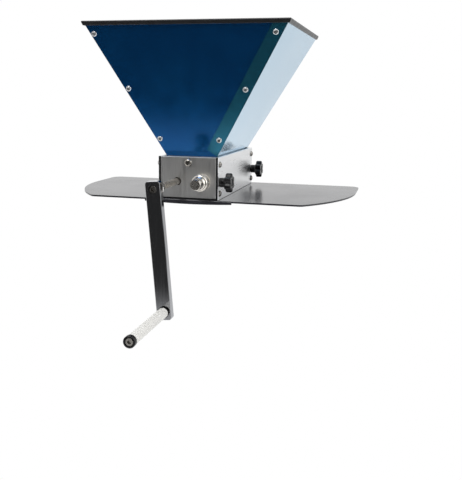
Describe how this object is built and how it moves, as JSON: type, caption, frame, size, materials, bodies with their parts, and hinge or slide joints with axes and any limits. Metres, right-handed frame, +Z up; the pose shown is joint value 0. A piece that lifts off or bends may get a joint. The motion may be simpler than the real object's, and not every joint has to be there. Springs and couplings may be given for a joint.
{
  "type": "grain mill",
  "caption": "Hand-cranked roller mill for malt, with a flared sheet-metal hopper, adjustable roller gap and a base plate that lies across a pail.",
  "frame": {"origin": "on the base plate's underside, below the middle of the mill's body", "axes": "+X across the rollers towards the lock knobs, +Y along the rollers away from the crank, +Z up out of the hopper"},
  "size_m": [0.3716, 0.394, 0.3372],
  "materials": {
    "black_sheet": "black satin powder coat on steel sheet",
    "black_rubber": "black rubber edging and gasket",
    "zinc_screws": "bright plated screws",
    "bright_nuts": "bright plated nuts",
    "satin_side_sheet": "satin steel side panels",
    "bare_sheet": "plain steel strip",
    "machined_plate": "satin machined end plates",
    "sintered_bush": "dark oiled sintered bronze",
    "film_covered_sheet": "glossy steel sheet under blue protective film",
    "rivets": "aluminium blind rivets",
    "shaft_steel": "ground steel",
    "roller_steel": "knurled steel roller",
    "arm_steel": "satin stainless flat bar",
    "knurled_steel": "knurled stainless knob",
    "grip_tube": "pale anodised tube",
    "black_plastic": "black moulded plastic"
  },
  "bodies": {
    "frame": {"base_plate": "black_sheet", "base_gaskets": "black_rubber", "base_screws": "zinc_screws", "neck_screws": "zinc_screws", "neck_nuts": "zinc_screws", "left_side_panel": "satin_side_sheet", "right_side_panel": "satin_side_sheet", "left_side_screws": "zinc_screws", "right_side_screws": "zinc_screws", "left_grain_deflector": "bare_sheet", "right_grain_deflector": "bare_sheet", "front_end_plate": "machined_plate", "rear_end_plate": "machined_plate", "front_drive_bush": "sintered_bush", "rear_drive_bush": "sintered_bush", "hopper_front_panel": "film_covered_sheet", "hopper_rear_panel": "film_covered_sheet", "hopper_left_panel": "film_covered_sheet", "hopper_right_panel": "film_covered_sheet", "hopper_rivets_front": "rivets", "hopper_rivets_rear": "rivets", "hopper_trim_front": "black_rubber", "hopper_trim_rear": "black_rubber", "hopper_trim_left": "black_rubber", "hopper_trim_right": "black_rubber"},
    "crank": {"drive_shaft": "shaft_steel", "drive_roller": "roller_steel", "crank_arm": "arm_steel", "crank_arm_screw": "zinc_screws", "crank_nuts": "bright_nuts", "grip_screw": "zinc_screws"},
    "grip": {"grip_tube": "grip_tube", "grip_end_cap": "black_plastic", "grip_inner_bush": "black_plastic"},
    "front_adjuster": {"front_eccentric": "shaft_steel", "front_adjusting_knob": "knurled_steel", "front_knob_set_screw": "zinc_screws"},
    "rear_adjuster": {"rear_eccentric": "shaft_steel", "rear_adjusting_knob": "knurled_steel", "rear_knob_set_screw": "zinc_screws"},
    "idler": {"idler_shaft": "shaft_steel", "idler_roller": "roller_steel"},
    "front_lock_screw": {"front_lock_stud": "shaft_steel"},
    "front_lock_handle": {"front_lock_knob": "black_plastic"},
    "rear_lock_screw": {"rear_lock_stud": "shaft_steel"},
    "rear_lock_handle": {"rear_lock_knob": "black_plastic"}
  },
  "joints": [
    {"name": "crank_turn", "type": "hinge", "parent": "frame", "child": "crank", "pos_m": [-0.014, 0, 0.0235], "axis": [0, 1, 0], "continuous": true},
    {"name": "grip_spin", "type": "hinge", "parent": "crank", "child": "grip", "pos_m": [-0.00204, -0.22, -0.11599], "axis": [0, 1, 0], "continuous": true},
    {"name": "front_adjuster_turn", "type": "hinge", "parent": "frame", "child": "front_adjuster", "pos_m": [0.0178, -0.085, 0.0235], "axis": [0, 1, 0], "range_deg": [-70, 50]},
    {"name": "rear_adjuster_turn", "type": "hinge", "parent": "frame", "child": "rear_adjuster", "pos_m": [0.0178, 0.085, 0.0235], "axis": [0, 1, 0], "range_deg": [-70, 50]},
    {"name": "idler_spin", "type": "hinge", "parent": "front_adjuster", "child": "idler", "pos_m": [0.0178, 0, 0.0223], "axis": [0, 1, 0], "continuous": true},
    {"name": "front_lock_travel", "type": "slide", "parent": "frame", "child": "front_lock_screw", "axis": [1, 0, 0], "range_m": [0, 0.003]},
    {"name": "front_lock_turn", "type": "hinge", "parent": "front_lock_screw", "child": "front_lock_handle", "pos_m": [0.046, -0.085, 0.0235], "axis": [1, 0, 0], "range_deg": [0, 1080]},
    {"name": "rear_lock_travel", "type": "slide", "parent": "frame", "child": "rear_lock_screw", "axis": [1, 0, 0], "range_m": [0, 0.003]},
    {"name": "rear_lock_turn", "type": "hinge", "parent": "rear_lock_screw", "child": "rear_lock_handle", "pos_m": [0.046, 0.085, 0.0235], "axis": [1, 0, 0], "range_deg": [0, 1080]}
  ],
  "couplings": [
    {"joint": "rear_adjuster_turn", "follows": "front_adjuster_turn", "ratio": 1},
    {"joint": "idler_spin", "follows": "crank_turn", "ratio": -1},
    {"joint": "front_lock_turn", "follows": "front_lock_travel", "rad_per_m": 6283.2},
    {"joint": "rear_lock_turn", "follows": "rear_lock_travel", "rad_per_m": 6283.2}
  ]
}
